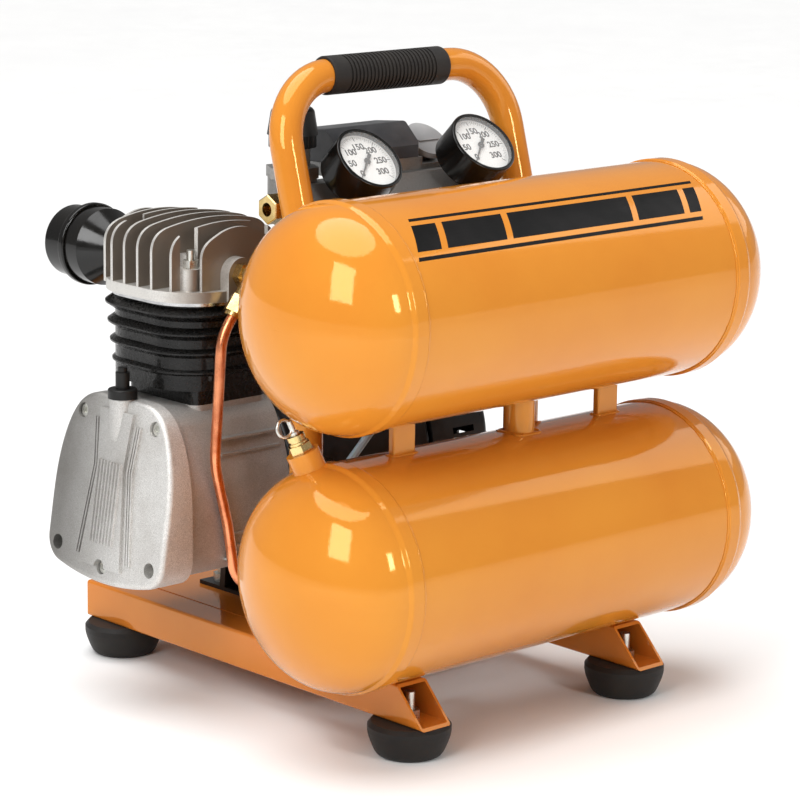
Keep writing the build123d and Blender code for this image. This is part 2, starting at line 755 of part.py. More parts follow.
crown_under = 32.5
crown_t = 4.0
skirt_low = 12.0
piston_r = bore_r - 0.2
ring_zs = [small_end_z + crown_under + crown_t - 5.2 - 5.0 * i for i in range(3)]
with BuildPart() as piston:
    with BuildSketch(Plane.XY.offset(small_end_z - skirt_low)):
        with Locations((bore_x, pump_y)):
            Circle(piston_r)
    extrude(amount=skirt_low + crown_under + crown_t)
    with BuildSketch(Plane.XY.offset(small_end_z - skirt_low)):
        with Locations((bore_x, pump_y)):
            Circle(22.0)
    extrude(amount=skirt_low + crown_under, mode=Mode.SUBTRACT)
    for side in (-1, 1):
        with BuildSketch(Plane.YZ.offset(bore_x + side * 17.0 - 5.0)):
            with Locations((pump_y, small_end_z)):
                Circle(9.0)
        extrude(amount=10.0)
    with BuildSketch(Plane.XY.offset(small_end_z - 30)):
        with Locations((bore_x, pump_y)):
            Circle(60)
            Circle(piston_r, mode=Mode.SUBTRACT)
    extrude(amount=90, mode=Mode.SUBTRACT)
    with BuildSketch(Plane.YZ.offset(bore_x - 40)):
        with Locations((pump_y, small_end_z)):
            Circle(5.0)
    extrude(amount=80, mode=Mode.SUBTRACT)
    for ring_z in ring_zs:
        with BuildSketch(Plane.XY.offset(ring_z - 1.05)):
            with Locations((bore_x, pump_y)):
                Circle(piston_r + 1)
                Circle(23.4, mode=Mode.SUBTRACT)
        extrude(amount=2.1, mode=Mode.SUBTRACT)
save(piston, "piston")

with BuildPart() as piston_rings:
    for ring_z in ring_zs:
        with BuildSketch(Plane.XY.offset(ring_z - 1.0)):
            with Locations((bore_x, pump_y)):
                Circle(bore_r - 0.05)
                Circle(23.5, mode=Mode.SUBTRACT)
        extrude(amount=2.0)
save(piston_rings, "piston_rings")

bearing_xs = (case_end_x - 14.0, motor_back_x - 15.0)
with BuildPart() as shaft_bearings:
    for bearing_x in bearing_xs:
        with BuildSketch(along_x(bearing_x, pump_y, crank_z)):
            Circle(bearing_r - 0.02)
            Circle(18.0, mode=Mode.SUBTRACT)
        extrude(amount=12)
        with BuildSketch(along_x(bearing_x, pump_y, crank_z)):
            Circle(14.5)
            Circle(shaft_r + 0.05, mode=Mode.SUBTRACT)
        extrude(amount=12)
        with BuildSketch(along_x(bearing_x + 6, pump_y, crank_z)):
            Circle(18.2)
            Circle(14.3, mode=Mode.SUBTRACT)
        extrude(amount=1.5, both=True)
save(shaft_bearings, "shaft_bearings")

# ======================= motor =======================
motor_front_x = case_end_x
motor_wall = 3.0
with BuildPart() as motor_shell:
    with BuildSketch(along_x(motor_front_x, pump_y, crank_z)):
        Circle(motor_r)
    extrude(amount=motor_back_x - motor_front_x)
    fillet(motor_shell.edges().filter_by(GeomType.CIRCLE), radius=5)
    with BuildSketch(along_x(motor_front_x + 6, pump_y, crank_z)):
        Circle(motor_r - motor_wall)
    extrude(amount=motor_back_x - motor_front_x - 12, mode=Mode.SUBTRACT)
    with BuildSketch(along_x(motor_back_x - 17, pump_y, crank_z)):
        Circle(bearing_r + 5)
    extrude(amount=14)
    with BuildSketch(along_x(motor_back_x - 15, pump_y, crank_z)):
        Circle(bearing_r)
    extrude(amount=12, mode=Mode.SUBTRACT)
    with BuildSketch(along_x(motor_front_x - 1, pump_y, crank_z)):
        Circle(shaft_r + 3)
    extrude(amount=motor_back_x - motor_front_x + 2, mode=Mode.SUBTRACT)
save(motor_shell, "motor_shell")

stator_x = -66.0
stator_len = 84.0
with BuildPart() as stator:
    with BuildSketch(along_x(stator_x, pump_y, crank_z)):
        Circle(motor_r - motor_wall - 0.1)
        Circle(36.0, mode=Mode.SUBTRACT)
    extrude(amount=stator_len)
save(stator, "stator")

with BuildPart() as rotor:
    with BuildSketch(along_x(stator_x + 2, pump_y, crank_z)):
        Circle(35.2)
        Circle(shaft_r, mode=Mode.SUBTRACT)
    extrude(amount=stator_len - 4)
save(rotor, "rotor")

fan_x = 72.0
with BuildPart() as cooling_fan:
    with BuildSketch(along_x(fan_x, pump_y, crank_z)):
        Circle(18.0)
        Circle(shaft_r, mode=Mode.SUBTRACT)
    extrude(amount=24)
    with BuildSketch(along_x(fan_x, pump_y, crank_z)):
        Circle(56.0)
        Circle(17.0, mode=Mode.SUBTRACT)
    extrude(amount=2)
    with BuildSketch(along_x(fan_x + 1.5, pump_y, crank_z)):
        with PolarLocations(36.0, 9):
            Rectangle(39.0, 2.0)
    extrude(amount=20)
save(cooling_fan, "cooling_fan")

with BuildPart() as fan_shroud:
    with BuildSketch(along_x(motor_back_x + 0.3, pump_y, crank_z)):
        Circle(shroud_r)
    extrude(amount=shroud_end_x - motor_back_x - 0.3)
    fillet(fan_shroud.edges().filter_by(GeomType.CIRCLE).group_by(Axis.X)[-1], radius=5)
    with BuildSketch(along_x(motor_back_x, pump_y, crank_z)):
        Circle(shroud_r - 2.4)
    extrude(amount=shroud_end_x - motor_back_x - 2.6, mode=Mode.SUBTRACT)
    for ring_r, ring_count in ((24.0, 8), (40.0, 14), (54.0, 18)):
        with BuildSketch(along_x(shroud_end_x - 6, pump_y, crank_z)):
            with PolarLocations(ring_r, ring_count):
                SlotOverall(11.0, 4.6, rotation=0)
        extrude(amount=10, mode=Mode.SUBTRACT)
    with BuildSketch(along_x(motor_back_x + 22, pump_y, crank_z)):
        with PolarLocations(shroud_r - 1, 18, start_angle=10):
            Rectangle(10, 5)
    extrude(amount=22, mode=Mode.SUBTRACT)
save(fan_shroud, "fan_shroud")

with BuildPart() as capacitor_cover:
    with BuildSketch(Plane.YZ.offset(-58.0)):
        with Locations((pump_y, crank_z + motor_r + 9)):
            RectangleRounded(52, 40, 14)
    extrude(amount=104)
    fillet(capacitor_cover.faces().sort_by(Axis.X)[-1].edges(), radius=5)
    with BuildSketch(along_x(-70, pump_y, crank_z)):
        Circle(motor_r + 0.05)
    extrude(amount=140, mode=Mode.SUBTRACT)
save(capacitor_cover, "capacitor_cover")

bracket_w = 26.0
with BuildPart() as motor_feet:
    for mount_x in mount_xs:
        with BuildSketch(Plane.YZ.offset(mount_x - bracket_w / 2)):
            with BuildLine():
                Polyline(
                    (pump_y - mount_dy - 12, rail_top),
                    (pump_y + mount_dy + 12, rail_top),
                    (pump_y + mount_dy + 12, rail_top + 3),
                    (pump_y + 40, rail_top + 3),
                    (pump_y + 34, crank_z - 40),
                    (pump_y - 34, crank_z - 40),
                    (pump_y - 40, rail_top + 3),
                    (pump_y - mount_dy - 12, rail_top + 3),
                    close=True,
                )
            make_face()
        extrude(amount=bracket_w)
        with BuildSketch(Plane.YZ.offset(mount_x - bracket_w / 2)):
            with BuildLine():
                Polyline(
                    (pump_y + 34, rail_top + 3),
                    (pump_y + 29, crank_z - 44),
                    (pump_y - 29, crank_z - 44),
                    (pump_y - 34, rail_top + 3),
                    close=True,
                )
            make_face()
        extrude(amount=bracket_w, mode=Mode.SUBTRACT)
    with BuildSketch(along_x(-90, pump_y, crank_z)):
        Circle(motor_r + 0.02)
    extrude(amount=180, mode=Mode.SUBTRACT)
    with BuildSketch(Plane.XY.offset(rail_top - 1)):
        with Locations(*[(x, pump_y + side * mount_dy) for x in mount_xs for side in (-1, 1)]):
            Circle(foot_bolt_r + 0.3)
    extrude(amount=8, mode=Mode.SUBTRACT)
save(motor_feet, "motor_feet")

# ======================= discharge line =======================
elbow_y = boss_face_y - 13.0
elbow_out = Vector(-0.6, 0, -0.8)
elbow_corner = Vector(discharge_x, elbow_y, discharge_z)
with BuildPart() as discharge_elbow:
    with BuildSketch(Plane((discharge_x, boss_face_y + 10, discharge_z), x_dir=(1, 0, 0), z_dir=(0, -1, 0))):
        Circle(5.9)
    extrude(amount=23)
    with BuildSketch(Plane((discharge_x, boss_face_y, discharge_z), x_dir=(1, 0, 0), z_dir=(0, -1, 0))):
        RegularPolygon(8.5, 6, major_radius=False)
    extrude(amount=7)
    with BuildSketch(Plane((discharge_x, boss_face_y - 6, discharge_z), x_dir=(1, 0, 0), z_dir=(0, -1, 0))):
        Circle(7.5)
    extrude(amount=14)
    with BuildSketch(towards(elbow_corner, elbow_out)):
        Circle(7.0)
    extrude(amount=17)
    with BuildSketch(Plane((discharge_x, boss_face_y + 12, discharge_z), x_dir=(1, 0, 0), z_dir=(0, -1, 0))):
        Circle(3.0)
    extrude(amount=25, mode=Mode.SUBTRACT)
    with BuildSketch(towards(elbow_corner, elbow_out)):
        Circle(3.0)
    extrude(amount=30, mode=Mode.SUBTRACT)
save(discharge_elbow, "discharge_elbow")

# The copper tube leaves the elbow, drops beside the crankcase and turns under the lower tank's back.
check_reach = 42.0
check_bend = ports["check"].offset(check_reach).origin
tube_start = elbow_corner + elbow_out * 18.0
tube_y = tube_start.Y
tube_route = [
    tube_start,
    elbow_corner + elbow_out * 50.0,
    Vector(-159.0, tube_y - 1, 188.0),
    Vector(-147.0, tube_y - 1, 142.0),
    Vector(-140.0, tube_y - 3, 92.0),
    Vector(-112.0, check_bend.Y + 0.8, check_bend.Z),
    Vector(check_bend.X - 14.0, check_bend.Y + 0.8, check_bend.Z),
]
tube_radii = [38.0, 60.0, 60.0, 22.0, 22.0]


def make_tube(route, radii, outer, inner):
    """Tube along straight runs joined by tangent arcs."""
    with BuildPart() as tube:
        with BuildLine() as path:
            FilletPolyline(*route, radius=radii)
        with BuildSketch(Plane(route[0], z_dir=route[1] - route[0])) as section:
            Circle(outer)
            Circle(inner, mode=Mode.SUBTRACT)
        sweep(section.sketch, path=path.wires()[0])
    return tube


discharge_tube = make_tube(tube_route, tube_radii, tube_r, tube_r - 1.0)
save(discharge_tube, "discharge_tube")

nut_r = 7.6
tube_end = tube_route[-1]
with BuildPart() as tube_nuts:
    for origin, direction in ((tube_start, elbow_out), (tube_end, Vector(-1, 0, 0))):
        with BuildSketch(towards(origin, direction)):
            RegularPolygon(nut_r, 6, major_radius=False)
            Circle(tube_r + 0.05, mode=Mode.SUBTRACT)
        extrude(amount=13)
        with BuildSketch(towards(origin, direction).offset(13)):
            Circle(6.6)
            Circle(tube_r + 0.05, mode=Mode.SUBTRACT)
        extrude(amount=3)
save(tube_nuts, "tube_nuts")

with BuildPart() as check_valve:
    with BuildSketch(ports["check"].offset(2)):
        Circle(bung_bore_r - 0.1)
    extrude(amount=bung_h)
    with BuildSketch(ports["check"].offset(bung_h + 0.2)):
        RegularPolygon(10.5, 6, major_radius=False)
    extrude(amount=9)
    with BuildSketch(ports["check"].offset(bung_h + 9)):
        Circle(9.0)
    extrude(amount=check_reach - bung_h)
    with BuildSketch(towards(check_bend, (-1, 0, 0))):
        Circle(6.8)
    extrude(amount=13.6)
    with BuildSketch(towards(check_bend, (0, 0, 1))):
        Circle(4.6)
    extrude(amount=16)
save(check_valve, "check_valve")

# ======================= control manifold =======================
nipple_r = 8.0
with BuildPart() as manifold_nipple:
    with BuildSketch(ports["manifold"].offset(2)):
        Circle(bung_bore_r - 0.1)
    extrude(amount=bung_h)
    with BuildSketch(ports["manifold"].offset(bung_h + 0.2)):
        RegularPolygon(10.5, 6, major_radius=False)
    extrude(amount=9)
    with BuildSketch(ports["manifold"].offset(bung_h + 5)):
        Circle(nipple_r)
    extrude(amount=60)
    with BuildSketch(Plane.XY.offset(manifold_z - 60)):
        with Locations((10, manifold_y - manifold_h + 40)):
            Rectangle(60, 80)
    extrude(amount=140, mode=Mode.SUBTRACT)
save(manifold_nipple, "manifold_nipple")

gauge_normal = Vector(0, -1, 1).normalized()
bar_left = -38.0
bar_right = 82.0
reg_left = -99.0
chamfer_leg = 12.0


def bar_outline():
    """Square bar with a 45 degree flat along its upper front edge; run inside a BuildSketch."""
    with BuildLine() as outline:
        Polyline(
            (-manifold_h, -manifold_h),
            (manifold_h, -manifold_h),
            (manifold_h, manifold_h),
            (-manifold_h + chamfer_leg, manifold_h),
            (-manifold_h, manifold_h - chamfer_leg),
            close=True,
        )
    make_face(outline.edges())


with BuildPart() as pressure_manifold:
    with BuildSketch(along_x(bar_left, manifold_y, manifold_z)):
        bar_outline()
    extrude(amount=bar_right - bar_left)
    fillet(pressure_manifold.edges().filter_by(Axis.X), radius=1.5)
    with BuildSketch(along_x(bar_right - 1, manifold_y, manifold_z)):
        RegularPolygon(8.5, 6, major_radius=False)
    extrude(amount=8)
save(pressure_manifold, "pressure_manifold")

knob_low_z = 411.0
with BuildPart() as regulator_body:
    with BuildSketch(along_x(reg_left, manifold_y, manifold_z)):
        bar_outline()
    extrude(amount=bar_left - reg_left - 0.2)
    fillet(regulator_body.edges().filter_by(Axis.X), radius=1.5)
    with BuildSketch(Plane.XY.offset(manifold_z - manifold_h)):
        with Locations((regulator_x, regulator_y)):
            Circle(18.0)
    extrude(amount=35)
    with BuildSketch(Plane.XY.offset(manifold_z + 18)):
        with Locations((regulator_x, regulator_y)):
            RegularPolygon(17.5, 6, major_radius=False)
    extrude(amount=8)
    with BuildSketch(Plane.XY.offset(manifold_z + 26)):
        with Locations((regulator_x, regulator_y)):
            Circle(13.0)
    extrude(amount=knob_low_z - manifold_z - 26)
    with BuildSketch(Plane.XY.offset(knob_low_z)):
        with Locations((regulator_x, regulator_y)):
            Circle(5.0)
    extrude(amount=18)
    with BuildSketch(towards((reg_left + 12, manifold_y, manifold_z), (-1, 0, 0))):
        Circle(6.6)
    extrude(amount=20, mode=Mode.SUBTRACT)
save(regulator_body, "regulator_body")

with BuildPart() as regulator_knob:
    with BuildSketch(Plane.XY.offset(knob_low_z + 0.3)):
        with Locations((regulator_x, regulator_y)):
            Circle(17.4)
            with PolarLocations(18.0, 24):
                Circle(1.2, mode=Mode.SUBTRACT)
    extrude(amount=9)
    with BuildSketch(Plane.XY.offset(knob_low_z + 9.3)):
        with Locations((regulator_x, regulator_y)):
            Circle(18.6)
    extrude(amount=20, taper=9)
    fillet(regulator_knob.edges().group_by(Axis.Z)[-1], radius=5)
    with BuildSketch(Plane.XY.offset(knob_low_z)):
        with Locations((regulator_x, regulator_y)):
            Circle(5.05)
    extrude(amount=19, mode=Mode.SUBTRACT)
save(regulator_knob, "regulator_knob")

switch_left = -46.0
switch_right = 70.0
switch_front = tank_y + 131.0
switch_back = tank_y + 180.0
switch_base_z = manifold_z + manifold_h
cover_low_z = switch_base_z + 10.0
cover_right = 34.0
cover_top_z = 421.0
# The switch dial leans towards the tanks, over a lower shelf of the base.
dial_tilt = 37.0
dial_face = Plane(
    (54.8, tank_y + 146.0, 405.9),
    x_dir=(1, 0, 0),
    z_dir=(0, -sin(radians(dial_tilt)), cos(radians(dial_tilt))),
)
shelf_x = cover_right + 2.5
with BuildPart() as pressure_switch:
    with BuildSketch(Plane.XY.offset(switch_base_z)):
        with Locations(((switch_left + switch_right) / 2, (switch_front + switch_back) / 2)):
            RectangleRounded(switch_right - switch_left, switch_back - switch_front, 6)
    extrude(amount=9.7)
    with BuildSketch(Plane.XY.offset(switch_base_z + 4)):
        with Locations((shelf_x + 25, (switch_front + switch_back) / 2)):
            Rectangle(50, 60)
    extrude(amount=10, mode=Mode.SUBTRACT)
    with BuildSketch(dial_face.offset(-15)):
        Circle(12.5)
    extrude(amount=10)
    with BuildSketch(dial_face.offset(-15)):
        Circle(4.0)
    extrude(amount=13)
    with BuildSketch(Plane.XY.offset(switch_base_z - 16)):
        with Locations((-20.0, switch_back - 18), (20.0, switch_back - 18)):
            Circle(7.5)
    extrude(amount=16)
save(pressure_switch, "pressure_switch")

with BuildPart() as switch_cover:
    with BuildSketch(Plane.YZ.offset(switch_left)):
        with BuildLine():
            Polyline(
                (switch_front, cover_low_z),
                (switch_back, cover_low_z),
                (switch_back, cover_top_z - 3),
                (switch_front + 17, cover_top_z),
                (switch_front, cover_top_z - 16),
                close=True,
            )
        make_face()
    extrude(amount=cover_right - switch_left)
    fillet(switch_cover.edges().filter_by(Axis.Z), radius=3)
    fillet(switch_cover.faces().sort_by(Axis.Z)[-1].edges(), radius=2)
    with BuildSketch(Plane.XY.offset(cover_low_z)):
        with Locations(((switch_left + cover_right) / 2, (switch_front + switch_back) / 2)):
            Rectangle(cover_right - switch_left - 5, switch_back - switch_front - 5)
    extrude(amount=9, mode=Mode.SUBTRACT)
save(switch_cover, "switch_cover")

with BuildPart() as switch_knob:
    with BuildSketch(dial_face.offset(-4.6)):
        Circle(17.0)
    extrude(amount=4.6)
    with BuildSketch(dial_face):
        SlotOverall(22, 5)
    extrude(amount=1.0)
    with BuildSketch(dial_face.offset(-6)):
        Circle(4.06)
    extrude(amount=4.6, mode=Mode.SUBTRACT)
save(switch_knob, "switch_knob")

# ======================= gauges =======================


def gauge_plane(spot, depth=0.0):
    """Plane on a gauge's axis, square to it, at a depth behind the bezel's front."""
    x, z = spot
    return Plane((x, gauge_face_y, z), x_dir=(1, 0, 0), z_dir=gauge_normal).offset(-depth)


stem_h = 10.6
with BuildPart() as gauge_cases:
    for spot in gauge_places.values():
        with BuildSketch(gauge_plane(spot, gauge_depth)):
            Circle(gauge_r)
        extrude(amount=gauge_depth)
        with BuildSketch(gauge_plane(spot, gauge_depth)):
            Circle(gauge_r - 7)
        extrude(amount=-3)
        with BuildSketch(gauge_plane(spot, gauge_depth)):
            RegularPolygon(7.0, 6, major_radius=False)
        extrude(amount=-stem_h)
        with BuildSketch(gauge_plane(spot, 6.0)):
            Circle(gauge_r - 2.6)
        extrude(amount=10, mode=Mode.SUBTRACT)
        with BuildSketch(gauge_plane(spot, 6.0)):
            Circle(1.0)
        extrude(amount=2.4)
    bezel_edges = gauge_cases.edges().filter_by(GeomType.CIRCLE).filter_by(lambda e: e.radius > gauge_r - 0.1)
    fillet(bezel_edges, radius=1.2)
save(gauge_cases, "gauge_cases")

with BuildPart() as gauge_dials:
    for spot in gauge_places.values():
        with BuildSketch(gauge_plane(spot, 5.9)):
            Circle(gauge_r - 2.7)
            Circle(1.4, mode=Mode.SUBTRACT)
        extrude(amount=0.8)
save(gauge_dials, "gauge_dials")

with BuildPart() as gauge_lenses:
    for spot in gauge_places.values():
        with BuildSketch(gauge_plane(spot, 2.4)):
            Circle(gauge_r - 2.7)
        extrude(amount=1.4)
save(gauge_lenses, "gauge_lenses")

# The dials run from 0 at the lower left to 300 at the lower right, clockwise through the top.
needle_zero = 225.0


def make_needle(spot):
    x, z = spot
    lift = sin(radians(needle_zero)) * sqrt(0.5)
    pointing = (cos(radians(needle_zero)), lift, lift)
    hub = Vector(x, gauge_face_y, z) - gauge_normal * 4.2
    with BuildPart() as needle:
        with BuildSketch(Plane(hub, x_dir=pointing, z_dir=gauge_normal)):
            Circle(2.6)
            with BuildLine():
                Polyline((0, -0.9), (19.0, -0.3), (19.0, 0.3), (0, 0.9), close=True)
            make_face()
            with BuildLine():
                Polyline((0, -1.0), (-8.0, -1.5), (-8.0, 1.5), (0, 1.0), close=True)
            make_face()
            Circle(1.05, mode=Mode.SUBTRACT)
        extrude(amount=0.7)
    return needle


outlet_gauge_needle = make_needle(gauge_places["outlet"])
save(outlet_gauge_needle, "outlet_gauge_needle")
tank_gauge_needle = make_needle(gauge_places["tank"])
save(tank_gauge_needle, "tank_gauge_needle")

# ======================= air outlet =======================
outlet_start = reg_left + 8.0
outlet_hex_start = 8.2
outlet_hex_length = 19.4
outlet_plane = towards((outlet_start, manifold_y, manifold_z), (-1, 0, 0))
with BuildPart() as air_outlet:
    with BuildSketch(outlet_plane):
        Circle(6.5)
    extrude(amount=outlet_hex_start)
    with BuildSketch(outlet_plane.offset(outlet_hex_start)):
        RegularPolygon(9.5, 6, major_radius=False)
    extrude(amount=outlet_hex_length)
    chamfer(air_outlet.faces().sort_by(Axis.X)[0].edges(), length=0.8)
    with BuildSketch(outlet_plane.offset(outlet_hex_start)):
        Circle(5.0)
    extrude(amount=40, mode=Mode.SUBTRACT)
save(air_outlet, "air_outlet")

# ======================= relief valve =======================
valve_seat = relief_plane.offset(bung_h)
barrel_top = 13.0
stem_r = 2.0
with BuildPart() as relief_valve:
    with BuildSketch(relief_plane.offset(1.0)):
        Circle(bung_bore_r - 0.1)
    extrude(amount=bung_h - 0.8)
    with BuildSketch(valve_seat.offset(0.2)):
        RegularPolygon(7.5, 6, major_radius=False)
    extrude(amount=6)
    with BuildSketch(valve_seat.offset(6)):
        Circle(6.4)
    extrude(amount=barrel_top - 6)
    with BuildSketch(valve_seat.offset(8)):
        Circle(8.0)
        Circle(5.4, mode=Mode.SUBTRACT)
    extrude(amount=1.6, mode=Mode.SUBTRACT)
    with BuildSketch(valve_seat.offset(5)):
        Circle(stem_r + 0.05)
    extrude(amount=20, mode=Mode.SUBTRACT)
save(relief_valve, "relief_valve")

ring_r = 6.0
ring_wire_r = 1.1
ring_seat = valve_seat.offset(20.6)
with BuildPart() as relief_pull_ring:
    with BuildSketch(valve_seat.offset(7)):
        Circle(stem_r)
    extrude(amount=16.5)
    with BuildSketch(valve_seat.offset(barrel_top + 0.3)):
        Circle(3.6)
    extrude(amount=2)
    ring_centre = ring_seat.origin - ring_seat.x_dir * ring_r
    ring_wire = Plane(ring_seat.origin, x_dir=ring_seat.x_dir, z_dir=ring_seat.z_dir)
    with BuildSketch(ring_wire):
        Circle(ring_wire_r)
    revolve(axis=Axis(ring_centre, ring_seat.y_dir))
save(relief_pull_ring, "relief_pull_ring")

# ======================= drain valve =======================
drain_seat = ports["drain"].offset(bung_h)
with BuildPart() as drain_valve:
    with BuildSketch(drain_seat.offset(-8.8)):
        Circle(bung_bore_r - 0.1)
    extrude(amount=9)
    with BuildSketch(drain_seat.offset(0.2)):
        RegularPolygon(7.5, 6, major_radius=False)
    extrude(amount=7)
    with BuildSketch(drain_seat.offset(7)):
        Circle(5.5)
    extrude(amount=8)
    with BuildSketch(drain_seat.offset(4)):
        Circle(2.55)
    extrude(amount=12, mode=Mode.SUBTRACT)
save(drain_valve, "drain_valve")

with BuildPart() as drain_knob:
    with BuildSketch(drain_seat.offset(8.3)):
        Circle(2.5)
    extrude(amount=12)
    with BuildSketch(drain_seat.offset(15.3)):
        Circle(5.0)
        Rectangle(24, 3)
    extrude(amount=5)
save(drain_knob, "drain_knob")

# ======================= unloader tube =======================
unloader_start = check_bend + Vector(0, 0, 16.0)
unloader_end = Vector(20.0, switch_back - 18.0, switch_base_z - 16.0)
unloader_route = [
    unloader_start,
    unloader_start + Vector(0, 0, 58.0),
    Vector(-18.0, tank_y + 113.0, 208.0),
    Vector(14.0, tank_y + 116.0, 256.0),
    Vector(20.0, tank_y + 132.0, 318.0),
    unloader_end - Vector(0, 0, 18.0),
    unloader_end,
]
unloader_tube = make_tube(unloader_route, [26.0, 34.0, 40.0, 30.0, 16.0], 3.0, 1.8)
save(unloader_tube, "unloader_tube")

print("discharge tube length", round(discharge_tube.part.volume / (pi * (tube_r**2 - 3.0**2)), 1))
print("unloader tube length", round(unloader_tube.part.volume / (pi * (3.0**2 - 1.8**2)), 1))
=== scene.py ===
import json
import math

import bmesh
import bpy
from mathutils import Matrix, Vector, noise


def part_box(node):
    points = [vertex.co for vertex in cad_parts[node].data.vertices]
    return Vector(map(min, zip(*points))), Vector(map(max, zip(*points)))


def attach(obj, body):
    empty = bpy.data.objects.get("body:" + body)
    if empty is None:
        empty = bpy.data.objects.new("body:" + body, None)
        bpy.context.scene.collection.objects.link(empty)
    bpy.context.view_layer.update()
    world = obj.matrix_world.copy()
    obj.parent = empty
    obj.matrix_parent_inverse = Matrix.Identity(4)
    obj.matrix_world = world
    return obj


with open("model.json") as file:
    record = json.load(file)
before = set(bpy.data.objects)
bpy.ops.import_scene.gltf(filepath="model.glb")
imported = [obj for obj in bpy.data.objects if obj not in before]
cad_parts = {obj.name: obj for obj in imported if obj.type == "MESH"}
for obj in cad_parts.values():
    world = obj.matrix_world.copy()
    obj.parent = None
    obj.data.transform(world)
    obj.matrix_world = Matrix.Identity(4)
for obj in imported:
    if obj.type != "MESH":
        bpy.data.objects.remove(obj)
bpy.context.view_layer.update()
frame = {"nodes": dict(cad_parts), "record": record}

MM = 0.001
nodes = frame["nodes"]
scene = bpy.context.scene
scene.view_settings.view_transform = "Standard"


# ============================ frame measures ============================
def node_middle(name):
    low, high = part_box(name)
    return (low + high) / 2


shell_low, shell_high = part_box("upper_tank_shell")
UPPER = node_middle("upper_tank_shell")
LOWER = node_middle("lower_tank_shell")
TANK_R = (shell_high.z - shell_low.z) / 2
SHELL_END_X = shell_high.x
HEAD_LAP = 6 * MM  # how far a head's skirt reaches over the shell's end


# ============================ material kit ============================
class Recipe:
    """A Principled material under construction. Coordinates are the object's own, in metres."""

    def __init__(self, name, **sockets):
        self.material = bpy.data.materials.new(name)
        self.material.use_nodes = True
        self.tree = self.material.node_tree
        self.shader = self.tree.nodes["Principled BSDF"]
        for key, value in sockets.items():
            self.shader.inputs[key.replace("_", " ")].default_value = value
        self.coords = self.tree.nodes.new("ShaderNodeTexCoord").outputs["Object"]
        self.normal = None

    def node(self, kind, **settings):
        made = self.tree.nodes.new(kind)
        for key, value in settings.items():
            setattr(made, key, value)
        return made

    def link(self, output, target):
        self.tree.links.new(output, target)

    def stretched(self, scale):
        mapping = self.node("ShaderNodeMapping")
        mapping.inputs["Scale"].default_value = scale
        self.link(self.coords, mapping.inputs["Vector"])
        return mapping.outputs["Vector"]

    def noise(self, scale, detail=3.0, roughness=0.55, coords=None):
        made = self.node("ShaderNodeTexNoise")
        made.inputs["Scale"].default_value = scale
        made.inputs["Detail"].default_value = detail
        made.inputs["Roughness"].default_value = roughness
        self.link(coords or self.coords, made.inputs["Vector"])
        return made.outputs["Fac"]

    def cells(self, scale):
        made = self.node("ShaderNodeTexVoronoi")
        made.inputs["Scale"].default_value = scale
        self.link(self.coords, made.inputs["Vector"])
        return made.outputs["Distance"]

    def ramp(self, value, stops):
        made = self.node("ShaderNodeValToRGB")
        elements = made.color_ramp.elements
        while len(elements) < len(stops):
            elements.new(0.5)
        for element, (place, colour) in zip(elements, stops):
            element.position = place
            element.color = (*colour, 1.0)
        self.link(value, made.inputs["Fac"])
        return made.outputs["Color"]

    def span(self, value, low, high, start=0.3, stop=0.7):
        made = self.node("ShaderNodeMapRange")
        for key, number in (("From Min", start), ("From Max", stop), ("To Min", low), ("To Max", high)):
            made.inputs[key].default_value = number
        self.link(value, made.inputs["Value"])
        return made.outputs["Result"]

    def colour(self, output):
        self.link(output, self.shader.inputs["Base Color"])
        return self

    def mix(self, factor, a, b):
        made = self.node("ShaderNodeMix", data_type="RGBA")
        self.link(factor, made.inputs[0])
        for value, socket in ((a, made.inputs[6]), (b, made.inputs[7])):
            if isinstance(value, tuple):
                socket.default_value = (*value, 1.0)
            else:
                self.link(value, socket)
        return made.outputs[2]

    def rough(self, value, low, high):
        self.link(self.span(value, low, high), self.shader.inputs["Roughness"])
        return self

    def bump(self, height, depth, strength=1.0):
        made = self.node("ShaderNodeBump")
        made.inputs["Distance"].default_value = depth
        made.inputs["Strength"].default_value = strength
        self.link(height, made.inputs["Height"])
        if self.normal is not None:
            self.link(self.normal, made.inputs["Normal"])
        self.normal = made.outputs["Normal"]
        self.link(self.normal, self.shader.inputs["Normal"])
        return self

    def facing(self, axis, start, stop):
        """A 0 to 1 mask of how far the surface faces along one axis of the scene."""
        geometry = self.node("ShaderNodeNewGeometry")
        split = self.node("ShaderNodeSeparateXYZ")
        self.link(geometry.outputs["Normal"], split.inputs[0])
        return self.span(split.outputs[axis], 0.0, 1.0, start, stop)


def enamel(name, deep, bright, orange_peel=0.00005):
    """Sprayed gloss enamel: slight colour drift, orange peel, warm reflections and a thin clear coat."""
    r = Recipe(name, Coat_Weight=0.22, Coat_Roughness=0.02, Specular_IOR_Level=0.75,
               Specular_Tint=(1.0, 0.66, 0.22, 1.0))
    r.colour(r.ramp(r.noise(9.0, 4.0), [(0.30, deep), (0.72, bright)]))
    r.rough(r.noise(55.0), 0.05, 0.11)
    r.bump(r.noise(26.0, 2.0), 0.0003, 0.25)
    r.bump(r.noise(420.0, 2.0), orange_peel, 0.8)
    return r.material


CAST_STAIN = (0.27, 0.235, 0.20)


def casting(name, dark, light, grain=0.00022, rough=(0.42, 0.62), shade=None, painted_shade_colour=None):
    """Shot-blasted die casting with faint stains; shade makes a mask where painted shade of the given colour
    is mixed in.
    """
    r = Recipe(name, Metallic=0.75, Specular_IOR_Level=0.4)
    grains = r.noise(1500.0, 3.0, 0.7)
    stain = r.noise(22.0, 5.0, 0.62)
    base = r.ramp(grains, [(0.30, dark), (0.70, light)])
    blasted = r.mix(r.span(stain, 0.0, 0.35, 0.42, 0.75), base, CAST_STAIN)
    # where the shade mask is set, painted shade of the given colour covers the blasted colour
    r.colour(r.mix(shade(r), blasted, painted_shade_colour) if shade else blasted)
    r.rough(grains, *rough)
    r.bump(grains, grain, 0.75)
    r.bump(r.noise(140.0, 3.0), 0.00018, 0.5)
    return r.material


